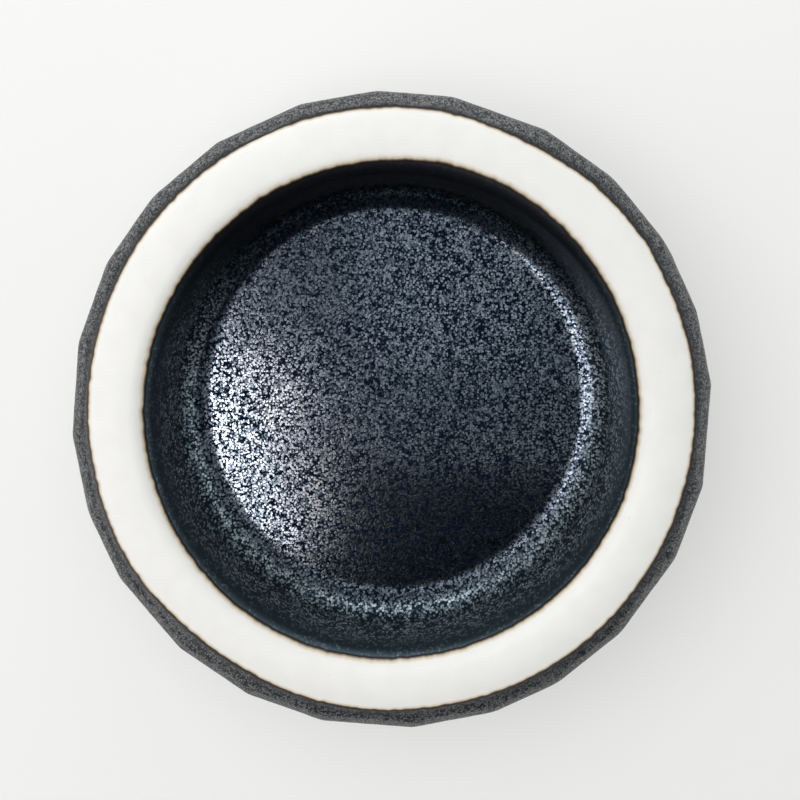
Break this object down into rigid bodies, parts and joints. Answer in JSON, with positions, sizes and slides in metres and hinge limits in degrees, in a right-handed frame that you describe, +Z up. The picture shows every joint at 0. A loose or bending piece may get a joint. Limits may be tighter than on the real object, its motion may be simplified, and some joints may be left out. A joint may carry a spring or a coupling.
{
  "type": "soy sauce dish",
  "caption": "Thick round soy sauce dish with a deep dark glazed well, a bare white rim and hand-cut facets round the outside.",
  "frame": {"origin": "middle of the foot ring's underside, on the table", "axes": "+Z up, out of the well; +X and +Y lie on the table, and the first facet faces about 11 degrees from +X towards +Y"},
  "size_m": [0.0897, 0.0899, 0.03],
  "materials": {
    "bare_clay": "bare fired white clay, smooth and matt",
    "dark_glaze": "blue-black satin glaze with fine silvery grain",
    "matt_dark_glaze": "charcoal matt glaze with fine grain",
    "amber_margin": "thin amber-brown edge of the glaze"
  },
  "bodies": {
    "root": {"clay_body": "bare_clay", "well_glaze": "dark_glaze", "wall_glaze": "matt_dark_glaze", "foot_glaze": "dark_glaze", "rim_inner_margin": "amber_margin", "rim_outer_margin": "amber_margin", "foot_inner_margin": "amber_margin", "foot_outer_margin": "amber_margin"}
  },
  "joints": []
}
